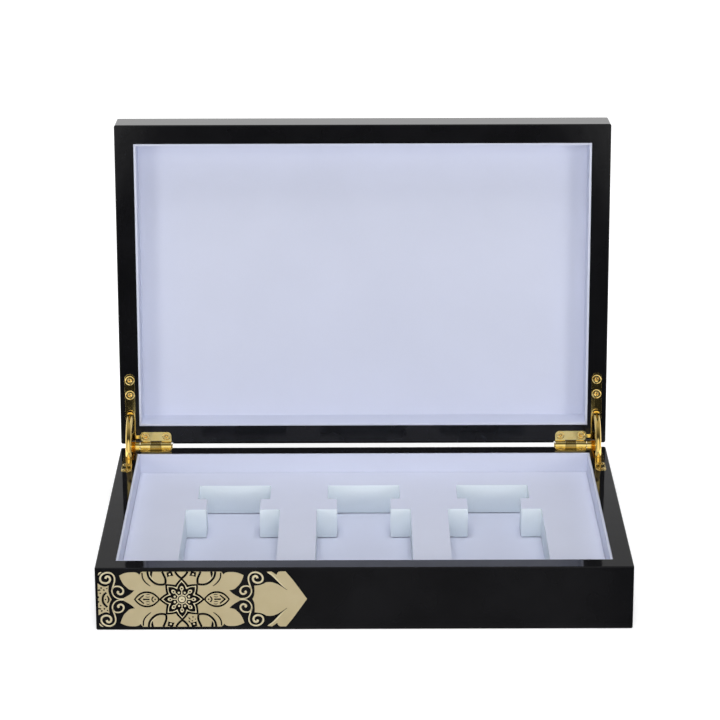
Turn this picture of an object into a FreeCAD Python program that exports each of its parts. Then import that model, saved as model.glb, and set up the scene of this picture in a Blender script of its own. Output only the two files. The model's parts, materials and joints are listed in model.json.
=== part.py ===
import FreeCAD, Part
import Sketcher
import math
import os

# Lacquered gift box with a hinged lid, a lined tray and three stepped bottle recesses.
# Millimetres. The origin is the middle of the underside, +X to the right, +Y to the back,
# +Z up. The lid stands open against its two quadrant stays.

doc = FreeCAD.newDocument("gift_box")
sheet = doc.addObject("Spreadsheet::Sheet", "Sizes")

driving_sizes = {
    # outside of the box
    "box_length": 300.0,
    "box_depth": 200.0,
    "base_top": 37.5,
    "base_wall": 11.0,
    "lid_wall": 11.5,
    "lid_height": 24.0,
    "corner_round": 1.2,
    "rim_round": 0.6,
    "panel_round": 1.2,
    "foot_gap": 0.3,
    # panels, felt and linings
    "bottom_panel": 5.0,
    "bottom_setback": 0.7,
    "panel_rebate": 5.0,
    "felt_inset": 1.0,
    "floor_lining": 1.0,
    "top_panel": 3.0,
    "lining": 1.4,
    "lining_drop": 0.2,
    "lid_panel_lining": 1.5,
    # insert with the recesses for three bottles
    "insert_top": 25.3,
    "insert_clearance": 0.2,
    "recess_pitch": 78.0,
    "cap_width": 43.5,
    "cap_length": 23.0,
    "neck_width": 32.0,
    "neck_length": 18.0,
    "bottle_width": 56.0,
    "bottle_length": 88.0,
    "recess_corner": 1.0,
    # ornament on the front
    "ornament_length": 104.5,
    "ornament_point": 12.0,
    "ornament_height": 33.2,
    "ornament_inset": 1.5,
    "ornament_thickness": 0.2,
    # hinge axis and leaves
    "closing_gap": 0.3,
    "axis_behind": 1.6,
    "open_angle": 93.0,
    "leaf_thickness": 1.6,
    "leaf_fit": 0.1,
    "side_arm_edge": 3.0,
    "side_arm_width": 6.2,
    "side_arm_start": 3.5,
    "side_arm_reach": 46.4,
    "neck_start": 4.9,
    "neck_end": 7.1,
    "back_arm_start": 12.0,
    "back_arm_stop": 31.2,
    "back_arm_near": 3.5,
    "back_arm_far": 9.2,
    "back_arm_round": 2.6,
    # barrel and pin
    "barrel_radius": 3.2,
    "barrel_clearance": 0.3,
    "knuckle_gap": 0.15,
    "outer_knuckle": 6.2,
    "corner_knuckle_start": 3.8,
    "corner_knuckle_stop": 11.7,
    "pin_radius": 1.2,
    "pin_clearance": 0.05,
    "pin_head_radius": 1.9,
    "pin_head": 0.6,
    # quadrant stay
    "stay_inner": 19.0,
    "stay_outer": 22.5,
    "stay_width": 3.6,
    "stay_round": 1.5,
    "stay_edge": 0.5,
    "stay_clearance": 0.3,
    "slot_start": 8.0,
    "stay_tail": 13.0,
    "stay_share": 0.62,
    "cross_pin_angle": 9.2,
    "cross_pin_radius": 1.3,
    "cross_pin_length": 5.2,
    # countersunk screws
    "screw_length": 9.0,
    "screw_radius": 1.15,
    "screw_point": 2.3,
    "screw_fit": 0.05,
    "side_screw_head": 2.8,
    "back_screw_head": 2.4,
    "side_screw_first": 33.0,
    "side_screw_second": 42.3,
    "back_screw_margin": 3.2,
}

recess_count = 3
full_turn = 360
right_angle = 90
same_place = 1e-4  # two coordinates closer than this are the same
no_volume = 1e-6
edge_reach = 0.01  # how far past a rounding its end points may lie

for row, (alias, number) in enumerate(driving_sizes.items(), start=1):
    sheet.set(f"A{row}", alias)
    sheet.set(f"B{row}", str(number))
    sheet.setAlias(f"B{row}", alias)
doc.recompute()


class Measure:
    """A number together with the sheet expression that gives it."""

    def __init__(self, value, text):
        self.value = float(value)
        self.text = text

    def combine(self, other, sign, result):
        text = other.text if isinstance(other, Measure) else repr(float(other))
        return Measure(result, f"({self.text} {sign} {text})")

    def __add__(self, other):
        return self.combine(other, "+", self.value + number_of(other))

    def __sub__(self, other):
        return self.combine(other, "-", self.value - number_of(other))

    def __mul__(self, other):
        return self.combine(other, "*", self.value * number_of(other))

    def __truediv__(self, other):
        return self.combine(other, "/", self.value / number_of(other))

    def __neg__(self):
        return Measure(-self.value, f"(0 - {self.text})")


def number_of(quantity):
    return quantity.value if isinstance(quantity, Measure) else float(quantity)


def size(alias):
    return Measure(sheet.get(alias), f"Sizes.{alias}")


def cosine(angle):
    return Measure(math.cos(math.radians(angle.value)), f"cos({angle.text})")


def sine(angle):
    return Measure(math.sin(math.radians(angle.value)), f"sin({angle.text})")


def bind(item, **measures):
    for name, quantity in measures.items():
        item.setExpression(name.replace("_of_", "."), quantity.text)


def place(item, across=None, back=None, up=None, turn=None):
    """Ties an object's place to the sheet, and its turn about the X axis."""
    if turn is not None:
        item.Placement = FreeCAD.Placement(
            FreeCAD.Vector(0, 0, 0), FreeCAD.Rotation(FreeCAD.Vector(1, 0, 0), turn.value)
        )
        bind(item, Placement_of_Rotation_of_Angle=turn)
    for name, quantity in (("x", across), ("y", back), ("z", up)):
        if quantity is not None:
            item.setExpression(f"Placement.Base.{name}", quantity.text)


def new_body(name):
    body = doc.addObject("PartDesign::Body", name)
    body.Label = name
    return body


def new_sketch(body, name, plane="XY_Plane", height=None):
    """A sketch on one of the body's own origin planes, or parallel to it."""
    sketch = body.newObject("Sketcher::SketchObject", name)
    support = [item for item in body.Origin.OriginFeatures if item.Role == plane][0]
    sketch.AttachmentSupport = [(support, "")]
    sketch.MapMode = "FlatFace"
    if height is not None:
        sketch.AttachmentOffset.Base.z = height.value
        sketch.setExpression("AttachmentOffset.Base.z", height.text)
    return sketch


def fix_point(sketch, curve, end, point):
    """Ties both coordinates of a point of a curve to the sheet."""
    for kind, quantity in (("DistanceX", point[0]), ("DistanceY", point[1])):
        row = sketch.addConstraint(Sketcher.Constraint(kind, -1, 1, curve, end, number_of(quantity)))
        if isinstance(quantity, Measure):
            sketch.setExpression(f"Constraints[{row}]", quantity.text)


def toward(start, goal, distance):
    """The point at a distance from start along a straight edge parallel to X or Y."""
    along = [number_of(goal[axis]) - number_of(start[axis]) for axis in (0, 1)]
    axis = 0 if abs(along[0]) > abs(along[1]) else 1
    moved = [start[0], start[1]]
    moved[axis] = moved[axis] + distance if along[axis] > 0 else moved[axis] - distance
    return tuple(moved)


def flat(point):
    return FreeCAD.Vector(number_of(point[0]), number_of(point[1]), 0)


def draw_outline(sketch, corners):
    """A closed outline. A corner is (x, y), or (x, y, radius) where it is rounded."""
    count = len(corners)
    stops = []
    for place_in_row, corner in enumerate(corners):
        if len(corner) == 2:
            stops.append((corner, corner, None))
            continue
        before = toward(corner, corners[place_in_row - 1], corner[2])
        after = toward(corner, corners[(place_in_row + 1) % count], corner[2])
        stops.append((before, after, corner[2]))
    for place_in_row, (start, finish, radius) in enumerate(stops):
        if radius is not None:
            draw_corner(sketch, start, finish, corners[place_in_row], radius)
        following = stops[(place_in_row + 1) % count][0]
        if (flat(following) - flat(finish)).Length > same_place:
            line = sketch.addGeometry(Part.LineSegment(flat(finish), flat(following)))
            fix_point(sketch, line, 1, finish)
            fix_point(sketch, line, 2, following)


def draw_corner(sketch, start, finish, corner, radius):
    """A quarter arc between two straight edges of an outline."""
    centre = flat(start) + flat(finish) - flat(corner)
    turns = [math.atan2(end.y - centre.y, end.x - centre.x) for end in (flat(start), flat(finish))]
    forward = (turns[1] - turns[0]) % (2 * math.pi) < math.pi
    first, last = (start, finish) if forward else (finish, start)
    low, high = (turns[0], turns[1]) if forward else (turns[1], turns[0])
    circle = Part.Circle(centre, FreeCAD.Vector(0, 0, 1), number_of(radius))
    arc = sketch.addGeometry(Part.ArcOfCircle(circle, low, high))
    fix_point(sketch, arc, 1, first)
    fix_point(sketch, arc, 2, last)
    row = sketch.addConstraint(Sketcher.Constraint("Radius", arc, number_of(radius)))
    sketch.setExpression(f"Constraints[{row}]", radius.text)


def draw_circle(sketch, centre, radius):
    circle = sketch.addGeometry(Part.Circle(flat(centre), FreeCAD.Vector(0, 0, 1), radius.value))
    fix_point(sketch, circle, 3, centre)
    row = sketch.addConstraint(Sketcher.Constraint("Radius", circle, radius.value))
    sketch.setExpression(f"Constraints[{row}]", radius.text)


def pad(body, sketch, length, downward=False):
    feature = body.newObject("PartDesign::Pad", f"{sketch.Name}_pad")
    feature.Profile = sketch
    feature.Reversed = downward
    bind(feature, Length=length)
    return feature


def pocket(body, sketch, depth, upward=False, both_ways=False):
    feature = body.newObject("PartDesign::Pocket", f"{sketch.Name}_cut")
    feature.Profile = sketch
    feature.Reversed = upward
    feature.Midplane = both_ways
    bind(feature, Length=depth)
    return feature


def mirror(body, features):
    """Repeats cuts of the left side on the right side."""
    feature = body.newObject("PartDesign::Mirrored", "right_side")
    feature.Originals = features
    plane = [item for item in body.Origin.OriginFeatures if item.Role == "YZ_Plane"][0]
    feature.MirrorPlane = (plane, [""])
    body.Tip = feature
    return feature


def rectangle(left, right, front, back, radius=None):
    corners = [(left, front), (right, front), (right, back), (left, back)]
    if radius is None:
        return corners
    return [corner + (radius,) for corner in corners]


def slab(name, left, right, front, back, bottom, top, radius=None):
    """A flat sheet or board, as one padded rectangle."""
    body = new_body(name)
    sketch = new_sketch(body, f"{name}_outline", height=bottom)
    draw_outline(sketch, rectangle(left, right, front, back, radius))
    pad(body, sketch, top - bottom)
    return body


def round_edges(body, name, radius, test):
    """Rounds the edges of the body that a test on their two ends picks out."""
    doc.recompute()
    base = body.Tip
    picked = []
    for number, edge in enumerate(base.Shape.Edges, start=1):
        if test([vertex.Point for vertex in edge.Vertexes]):
            picked.append(f"Edge{number}")
    feature = body.newObject("PartDesign::Fillet", name)
    feature.Base = (base, picked)
    bind(feature, Radius=radius)
    return feature


zero = Measure(0, "0")
half_length = size("box_length") / 2
half_depth = size("box_depth") / 2
axis_y = half_depth + size("axis_behind")
axis_z = size("base_top") + size("closing_gap") / 2
lid_turn = -size("open_angle")
stay_middle = (size("stay_inner") + size("stay_outer")) / 2
arm_middle = size("side_arm_edge") + size("side_arm_width") / 2
back_arm_middle = (size("back_arm_near") + size("back_arm_far")) / 2
back_arm_round = size("neck_start") - size("back_arm_near")


# Places on a hinge are given as the distance in from the side face and the distance
# forward from the hinge axis. hand is -1 on the left and 1 on the right.


def hinge_point(hand, inward, forward, origin_y):
    across = half_length - inward
    return (-across if hand < 0 else across, origin_y - forward)


def leaf_outline(hand, origin_y, grow, near, near_round=None):
    """The L of a leaf: side arm, neck and back arm, all grown by a clearance."""
    inner = size("side_arm_edge") + size("side_arm_width") + grow
    outer = size("side_arm_edge") - grow
    tip = size("side_arm_reach") + grow
    end_round = size("side_arm_width") / 2 + grow
    first = size("back_arm_start") - grow
    last = size("back_arm_stop") + grow
    far = size("back_arm_far") + grow
    neck_low = size("neck_start") - grow
    neck_high = size("neck_end") + grow
    heel = size("side_arm_start") - grow
    corners = [
        (outer, heel),
        (outer, tip, end_round),
        (inner, tip, end_round),
        (inner, neck_high),
        (first, neck_high),
        (first, far, size("back_arm_far") - size("neck_end")),
        (last, far, size("back_arm_round") + grow),
        (last, near),
        (first, near) if near_round is None else (first, near, near_round),
        (first, neck_low),
        (inner, neck_low),
        (inner, heel),
    ]
    return [hinge_point(hand, c[0], c[1], origin_y) + tuple(c[2:]) for c in corners]


def screw_places():
    """Distance in, distance forward and head radius of the four screws of a leaf."""
    side_head = size("side_screw_head")
    back_head = size("back_screw_head")
    margin = size("back_screw_margin")
    return [
        (arm_middle, size("side_screw_first"), side_head),
        (arm_middle, size("side_screw_second"), side_head),
        (size("back_arm_start") + margin, back_arm_middle, back_head),
        (size("back_arm_stop") - margin, back_arm_middle, back_head),
    ]


def stay_reach(end_angle):
    """How near the axis and how deep an end of the stay comes with the lid closed."""
    near = size("stay_inner") * cosine(end_angle) - size("stay_clearance")
    deep = size("stay_outer") * sine(end_angle) + size("stay_clearance")
    return near, deep


closed_share = size("open_angle") * size("stay_share")
base_end_angle = size("stay_tail") + closed_share
lid_end_angle = size("stay_tail") + size("open_angle") - closed_share


def cut_hinge_seats(body, origin_y, rim, upward, end_angle):
    """Leaf mortise, barrel groove, stay mortise and screw pilots, on both sides."""
    fit = size("leaf_fit")
    leaf_seat = new_sketch(body, f"{body.Name}_leaf_seat", height=rim)
    behind = size("axis_behind") - size("barrel_radius")
    draw_outline(leaf_seat, leaf_outline(-1, origin_y, fit, behind))
    cuts = [pocket(body, leaf_seat, size("leaf_thickness"), upward)]
    if not upward:
        corner_seat = new_sketch(body, f"{body.Name}_corner_seat", height=rim)
        outer_side = hinge_point(-1, size("corner_knuckle_start") - fit, behind, origin_y)
        inner_side = hinge_point(-1, size("back_arm_start"), back_arm_middle + fit, origin_y)
        draw_outline(corner_seat, rectangle(outer_side[0], inner_side[0], inner_side[1], outer_side[1]))
        cuts.append(pocket(body, corner_seat, size("leaf_thickness")))

    near, deep = stay_reach(end_angle)
    half_slot = size("cross_pin_length") / 2 + size("stay_clearance")
    far = size("stay_outer") + size("stay_clearance")
    stay_seat = new_sketch(body, f"{body.Name}_stay_seat", height=rim)
    outer_side = hinge_point(-1, arm_middle - half_slot, near, origin_y)
    inner_side = hinge_point(-1, arm_middle + half_slot, far, origin_y)
    draw_outline(stay_seat, rectangle(outer_side[0], inner_side[0], inner_side[1], outer_side[1]))
    cuts.append(pocket(body, stay_seat, deep, upward))

    pilots = new_sketch(body, f"{body.Name}_screw_pilots", height=rim)
    for inward, forward, head in screw_places():
        centre = hinge_point(-1, inward, forward, origin_y)
        draw_circle(pilots, centre, size("screw_radius") + size("screw_fit"))
    cuts.append(pocket(body, pilots, size("screw_length") + size("leaf_fit"), upward))

    clear = size("barrel_clearance")
    start = -(half_length - size("corner_knuckle_start")) - clear - size("pin_head")
    length = size("back_arm_stop") - size("corner_knuckle_start") + clear * 2 + size("pin_head") * 2
    groove = new_sketch(body, f"{body.Name}_barrel_groove", "YZ_Plane", start)
    shift = -size("closing_gap") / 2 if upward else size("closing_gap") / 2
    draw_circle(groove, (origin_y, rim + shift), size("barrel_radius") + clear)
    cuts.append(pocket(body, groove, length, True))
    mirror(body, cuts)


def near_to(number, goal):
    return abs(number - goal) < same_place


def outside_edges(level, back, front):
    """Picks the outer edges of a frame at one height, corners included."""
    margin = number_of(size("corner_round")) + edge_reach

    def test(points):
        at_level = all(near_to(point.z, level) for point in points)
        outer = [
            abs(point.x) > number_of(half_length) - margin
            or point.y > back - margin
            or point.y < front + margin
            for point in points
        ]
        return at_level and all(outer)

    return test


def frame(name, bottom, top, wall, middle_y):
    """Four walls in one ring, before the mitres part them."""
    body = new_body(name)
    ring = new_sketch(body, f"{name}_ring", height=bottom)
    front = middle_y - half_depth
    back = middle_y + half_depth
    outer = rectangle(-half_length, half_length, front, back, size("corner_round"))
    inner = rectangle(-half_length + wall, half_length - wall, front + wall, back - wall)
    draw_outline(ring, outer)
    draw_outline(ring, inner)
    pad(body, ring, top - bottom)
    return body


def split_frame(ring_body, prefix, bottom, top, middle_y, turn=None):
    """Parts a frame at its mitres into four walls."""
    front = middle_y - half_depth
    back = middle_y + half_depth
    ridge = half_length - half_depth
    left_ridge = (-ridge, middle_y)
    right_ridge = (ridge, middle_y)
    front_left = (-half_length, front)
    front_right = (half_length, front)
    back_left = (-half_length, back)
    back_right = (half_length, back)
    sectors = {
        "front_wall": [front_left, front_right, right_ridge, left_ridge],
        "back_wall": [back_right, back_left, left_ridge, right_ridge],
        "left_wall": [back_left, front_left, left_ridge],
        "right_wall": [front_right, back_right, right_ridge],
    }
    walls = []
    for wall_name, corners in sectors.items():
        sector = new_body(f"{prefix}_{wall_name}_sector")
        sketch = new_sketch(sector, f"{prefix}_{wall_name}_mitres", height=bottom)
        draw_outline(sketch, corners)
        pad(sector, sketch, top - bottom)
        wall = doc.addObject("Part::MultiCommon", f"{prefix}_{wall_name}")
        wall.Shapes = [ring_body, sector]
        wall.Label = f"{prefix}_{wall_name}"
        if turn is not None:
            place(wall, back=axis_y, up=axis_z, turn=turn)
        walls.append(wall)
    return walls


def linings(prefix, inner_x, front, back, bottom, top):
    """Four thin boards against the inside of the walls, the short ones between the long."""
    board = size("lining")
    return [
        slab(f"{prefix}_lining_front", -inner_x, inner_x, front, front + board, bottom, top),
        slab(f"{prefix}_lining_back", -inner_x, inner_x, back - board, back, bottom, top),
        slab(f"{prefix}_lining_left", -inner_x, -inner_x + board, front + board, back - board, bottom, top),
        slab(f"{prefix}_lining_right", inner_x - board, inner_x, front + board, back - board, bottom, top),
    ]


def build_base():
    wall = size("base_wall")
    foot = size("foot_gap")
    rim = size("base_top")
    panel_low = foot + size("bottom_setback")
    panel_top = panel_low + size("bottom_panel")
    floor = panel_top + size("floor_lining")

    ring_body = frame("base_frame", foot, rim, wall, zero)
    rebate = new_sketch(ring_body, "panel_rebate_outline", height=foot)
    shelf = size("panel_rebate")
    reach_x = half_length - wall + shelf
    reach_y = half_depth - wall + shelf
    draw_outline(rebate, rectangle(-reach_x, reach_x, -reach_y, reach_y))
    pocket(ring_body, rebate, panel_top - foot, True)
    levels = [number_of(foot), number_of(rim)]
    tests = [outside_edges(level, number_of(half_depth), -number_of(half_depth)) for level in levels]
    round_edges(ring_body, "base_rounds", size("rim_round"), lambda ends: any(t(ends) for t in tests))
    cut_hinge_seats(ring_body, axis_y, rim, False, base_end_angle)

    parts = split_frame(ring_body, "base", foot, rim, zero)
    parts.append(slab("base_bottom_panel", -reach_x, reach_x, -reach_y, reach_y, panel_low, panel_top))
    felt_x = reach_x - size("felt_inset")
    felt_y = reach_y - size("felt_inset")
    parts.append(slab("base_felt", -felt_x, felt_x, -felt_y, felt_y, zero, panel_low))
    inner_x = half_length - wall
    inner_y = half_depth - wall
    parts.append(slab("base_floor_lining", -inner_x, inner_x, -inner_y, inner_y, panel_top, floor))
    parts += linings("base", inner_x, -inner_y, inner_y, floor, rim - size("lining_drop"))
    parts.append(build_insert(inner_x, inner_y, floor))
    parts.append(build_ornament())
    return parts


def build_insert(inner_x, inner_y, floor):
    """A block with three stepped recesses: cap, neck and bottle, from back to front."""
    edge_x = inner_x - size("lining") - size("insert_clearance")
    edge_y = inner_y - size("lining") - size("insert_clearance")
    top = size("insert_top")
    body = slab("insert_block", -edge_x, edge_x, -edge_y, edge_y, floor, top)
    total = size("cap_length") + size("neck_length") + size("bottle_length")
    cap_back = total / 2
    neck_back = cap_back - size("cap_length")
    shoulder = neck_back - size("neck_length")
    foot = shoulder - size("bottle_length")
    middle = -size("recess_pitch")
    cap = size("cap_width") / 2
    neck = size("neck_width") / 2
    bottle = size("bottle_width") / 2
    corner = size("recess_corner")
    recess = new_sketch(body, "recess_outline", height=top)
    draw_outline(recess, [
        (middle - cap, cap_back, corner),
        (middle + cap, cap_back, corner),
        (middle + cap, neck_back),
        (middle + neck, neck_back),
        (middle + neck, shoulder),
        (middle + bottle, shoulder, corner),
        (middle + bottle, foot, corner),
        (middle - bottle, foot, corner),
        (middle - bottle, shoulder, corner),
        (middle - neck, shoulder),
        (middle - neck, neck_back),
        (middle - cap, neck_back),
    ])
    cut = pocket(body, recess, top - floor)
    row = body.newObject("PartDesign::LinearPattern", "recess_row")
    row.Originals = [cut]
    row.Direction = (recess, ["H_Axis"])
    row.Occurrences = recess_count
    bind(row, Length=size("recess_pitch") * (recess_count - 1))
    body.Tip = row
    return body


def build_ornament():
    """A thin gilt inlay on the front wall that ends in an arrow point."""
    body = new_body("front_ornament")
    start = -half_length + size("ornament_inset")
    shoulder = start + size("ornament_length")
    middle = size("base_top") / 2
    low = middle - size("ornament_height") / 2
    high = middle + size("ornament_height") / 2
    sketch = new_sketch(body, "ornament_outline", "XZ_Plane", half_depth)
    draw_outline(sketch, [
        (start, low),
        (shoulder, low),
        (shoulder + size("ornament_point"), middle),
        (shoulder, high),
        (start, high),
    ])
    pad(body, sketch, size("ornament_thickness"))
    return body


def build_lid():
    """The lid, drawn closed with the hinge axis as its origin, then turned open."""
    wall = size("lid_wall")
    rim = size("closing_gap") / 2
    panel_low = rim + size("lid_height") - size("top_panel")
    middle_y = -size("axis_behind") - half_depth
    ring_body = frame("lid_frame", rim, panel_low, wall, middle_y)
    back = number_of(middle_y) + number_of(half_depth)
    front = number_of(middle_y) - number_of(half_depth)
    rim_test = outside_edges(number_of(rim), back, front)
    round_edges(ring_body, "lid_rounds", size("rim_round"), rim_test)
    cut_hinge_seats(ring_body, zero, rim, True, lid_end_angle)
    parts = split_frame(ring_body, "lid", rim, panel_low, middle_y, lid_turn)

    panel_top = panel_low + size("top_panel")
    panel = slab("lid_top_panel", -half_length, half_length, middle_y - half_depth,
                 middle_y + half_depth, panel_low, panel_top, size("corner_round"))
    top_test = outside_edges(number_of(panel_top), back, front)
    round_edges(panel, "lid_panel_rounds", size("panel_round"), top_test)
    inner_x = half_length - wall
    inner_y = half_depth - wall
    covered = panel_low - size("lid_panel_lining")
    cover = slab("lid_lining_panel", -inner_x, inner_x, middle_y - inner_y, middle_y + inner_y,
                 covered, panel_low)
    boards = linings("lid", inner_x, middle_y - inner_y, middle_y + inner_y,
                     rim + size("lining_drop"), covered)
    for piece in [panel, cover] + boards:
        place(piece, back=axis_y, up=axis_z, turn=lid_turn)
        parts.append(piece)
    return parts


# The barrel has four knuckles. Two belong to the lid's leaf. The one between them and
# the one in the corner of the box belong to the base's leaf. A pin with two small heads
# holds them together.


def knuckle_spans():
    """Start, start of its web, and stop of each knuckle, measured in from the side face."""
    gap = size("knuckle_gap")
    first = size("back_arm_start")
    last = size("back_arm_stop")
    corner = size("corner_knuckle_start")
    inner_start = first + size("outer_knuckle") + gap
    inner_stop = last - size("outer_knuckle") - gap
    second = inner_stop + gap
    return {
        "lid": [(first, first + back_arm_round, inner_start - gap), (second, second, last)],
        "base": [(corner, corner, size("corner_knuckle_stop")), (inner_start, inner_start, inner_stop)],
    }


def build_leaf(owner, side, hand):
    """A leaf about the hinge axis: L plate with its slot, knuckles and countersinks."""
    upward = owner == "lid"
    name = f"hinge_{owner}_leaf_{side}"
    body = new_body(name)
    skin = size("closing_gap") / 2
    face = skin if upward else -skin
    plate = new_sketch(body, f"{name}_plate", height=face)
    draw_outline(plate, leaf_outline(hand, zero, zero, size("back_arm_near"), back_arm_round))
    pad(body, plate, size("leaf_thickness"), not upward)

    for number, (start, web_start, stop) in enumerate(knuckle_spans()[owner], start=1):
        left, right = (web_start, stop) if hand > 0 else (stop, web_start)
        web = new_sketch(body, f"{name}_web_{number}", height=face)
        low = hinge_point(hand, right, zero, zero)
        high = hinge_point(hand, left, back_arm_middle, zero)
        draw_outline(web, rectangle(low[0], high[0], high[1], low[1]))
        pad(body, web, size("leaf_thickness"), not upward)
        origin = min((hinge_point(hand, span, zero, zero)[0] for span in (start, stop)),
                     key=number_of)
        knuckle = new_sketch(body, f"{name}_knuckle_{number}", "YZ_Plane", origin)
        draw_circle(knuckle, (zero, zero), size("barrel_radius"))
        pad(body, knuckle, stop - start)

    bore = new_sketch(body, f"{name}_bore", "YZ_Plane")
    draw_circle(bore, (zero, zero), size("pin_radius") + size("pin_clearance"))
    pocket(body, bore, size("box_length"), both_ways=True)

    clear = size("stay_clearance")
    half_slot = size("stay_width") / 2 + clear
    slot_end = size("stay_outer") - size("stay_round") + half_slot
    slot = new_sketch(body, f"{name}_slot", height=face)
    outer_side = hinge_point(hand, arm_middle - half_slot, size("slot_start"), zero)
    inner_side = hinge_point(hand, arm_middle + half_slot, slot_end, zero)
    draw_outline(slot, rectangle(outer_side[0], inner_side[0], inner_side[1], outer_side[1], half_slot))
    pocket(body, slot, size("leaf_thickness"), upward)

    for number, (inward, forward, head) in enumerate(screw_places(), start=1):
        centre = hinge_point(hand, inward, forward, zero)
        add_countersink(body, f"{name}_hole_{number}", centre, face, head, upward)
    place(body, back=axis_y, up=axis_z, turn=lid_turn if upward else None)
    return body


def add_countersink(body, name, centre, face, head, upward):
    """A countersunk screw hole through the plate of a leaf."""
    centre_sketch = new_sketch(body, name, height=face)
    draw_circle(centre_sketch, centre, size("screw_radius"))
    doc.recompute()
    hole = body.newObject("PartDesign::Hole", f"{name}_cut")
    hole.Profile = centre_sketch
    hole.ThreadType = 0
    hole.HoleCutType = "Countersink"
    hole.HoleCutCountersinkAngle = right_angle
    hole.DepthType = "ThroughAll"
    hole.Reversed = upward
    fit = size("screw_fit")
    bind(hole, Diameter=(size("screw_radius") + fit) * 2, HoleCutDiameter=(head + fit) * 2)


def build_pin(side, hand):
    name = f"hinge_pin_{side}"
    body = new_body(name)
    gap = size("knuckle_gap")
    starts = [size("corner_knuckle_start") - gap, size("back_arm_stop") + gap]
    ends = sorted((hinge_point(hand, start, zero, zero)[0] for start in starts), key=number_of)
    low, high = ends[0], ends[1]
    cap = size("pin_head")
    chamfer = cap / 2
    profile = new_sketch(body, f"{name}_profile")
    radius = size("pin_radius")
    head = size("pin_head_radius")
    draw_outline(profile, [
        (low - cap, zero),
        (low - cap, head - chamfer),
        (low - cap + chamfer, head),
        (low, head),
        (low, radius),
        (high, radius),
        (high, head),
        (high + cap - chamfer, head),
        (high + cap, head - chamfer),
        (high + cap, zero),
    ])
    turned = body.newObject("PartDesign::Revolution", f"{name}_turned")
    turned.Profile = profile
    turned.ReferenceAxis = (profile, ["H_Axis"])
    turned.Angle = full_turn
    place(body, back=axis_y, up=axis_z)
    return body


def build_stay(side, hand):
    """A round-backed arc strip about the hinge axis with a cross pin inside each mortise."""
    name = f"stay_{side}"
    body = new_body(name)
    middle_x = hinge_point(hand, arm_middle, zero, zero)[0]
    half = size("stay_width") / 2
    inner = -size("stay_inner")
    outer = -size("stay_outer")
    section = new_sketch(body, f"{name}_section")
    draw_outline(section, [
        (middle_x - half, outer, size("stay_round")),
        (middle_x + half, outer, size("stay_round")),
        (middle_x + half, inner, size("stay_edge")),
        (middle_x - half, inner, size("stay_edge")),
    ])
    span = size("open_angle") + size("stay_tail") * 2
    strip = body.newObject("PartDesign::Revolution", f"{name}_strip")
    strip.Profile = section
    strip.ReferenceAxis = (section, ["H_Axis"])
    strip.Reversed = True
    bind(strip, Angle=span)
    doc.recompute()
    inset = size("stay_tail") - size("cross_pin_angle")
    half_pin = size("cross_pin_length") / 2
    for number, angle in enumerate((inset, span - inset), start=1):
        pin = body.newObject("PartDesign::AdditiveCylinder", f"{name}_cross_pin_{number}")
        pin.Placement = FreeCAD.Placement(
            FreeCAD.Vector(0, 0, 0), FreeCAD.Rotation(FreeCAD.Vector(0, 1, 0), right_angle)
        )
        place(pin, middle_x - half_pin, -stay_middle * cosine(angle), stay_middle * sine(angle))
        bind(pin, Radius=size("cross_pin_radius"), Height=half_pin * 2)
        body.Tip = pin
    place(body, back=axis_y, up=axis_z, turn=size("stay_tail"))
    return body


def build_screw(name, centre, face, head, upward):
    """A flat-headed wood screw with its tip away from the rim."""
    body = new_body(name)
    shank = size("screw_radius")
    length = size("screw_length")
    slope = head - shank  # the countersink's right angle makes it as deep as it narrows
    point = size("screw_point")
    sign = 1.0 if upward else -1.0
    profile = new_sketch(body, f"{name}_profile", "XZ_Plane")
    draw_outline(profile, [
        (zero, zero),
        (head, zero),
        (shank, slope * sign),
        (shank, (length - point) * sign),
        (zero, length * sign),
    ])
    turned = body.newObject("PartDesign::Revolution", f"{name}_turned")
    turned.Profile = profile
    turned.ReferenceAxis = (profile, ["V_Axis"])
    turned.Angle = full_turn
    place(body, centre[0], centre[1], face)
    return body


def build_screws(owner, side, hand):
    """The four screws of one leaf, as one group of separate solids."""
    upward = owner == "lid"
    skin = size("closing_gap") / 2
    face = skin if upward else -skin
    name = f"{owner}_screws_{side}"
    screws = []
    for number, (inward, forward, head) in enumerate(screw_places(), start=1):
        centre = hinge_point(hand, inward, forward, zero)
        screws.append(build_screw(f"{name}_{number}", centre, face, head, upward))
    group = doc.addObject("Part::Compound", name)
    group.Label = name
    group.Links = screws
    place(group, back=axis_y, up=axis_z, turn=lid_turn if upward else None)
    return group


def build_hinges():
    parts = []
    for side, hand in (("left", -1), ("right", 1)):
        for owner in ("base", "lid"):
            parts.append(build_leaf(owner, side, hand))
            parts.append(build_screws(owner, side, hand))
        parts.append(build_pin(side, hand))
        parts.append(build_stay(side, hand))
    return parts


def check(parts):
    """Stops on a failed object, a broken shape or a cut that removes nothing."""
    for item in doc.Objects:
        if "Invalid" in item.State or "Error" in item.State:
            raise RuntimeError(f"{item.Name} failed: {item.State}")
        if item.TypeId in ("PartDesign::Pocket", "PartDesign::Hole"):
            if item.Shape.Volume > item.BaseFeature.Shape.Volume - no_volume:
                raise RuntimeError(f"{item.Name} cuts nothing")
    for part in parts:
        if part.Shape.isNull() or not part.Shape.isValid():
            raise RuntimeError(f"{part.Label} has no valid shape")


parts = build_base() + build_lid() + build_hinges()
doc.recompute()
check(parts)
os.makedirs("parts", exist_ok=True)
for part in parts:
    part.Shape.exportStep(f"parts/{part.Label}.step")
    print(part.Label, len(part.Shape.Solids), round(part.Shape.Volume, 1))
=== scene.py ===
import bmesh
import bpy
import json
import math
from mathutils import Matrix, Vector

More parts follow.
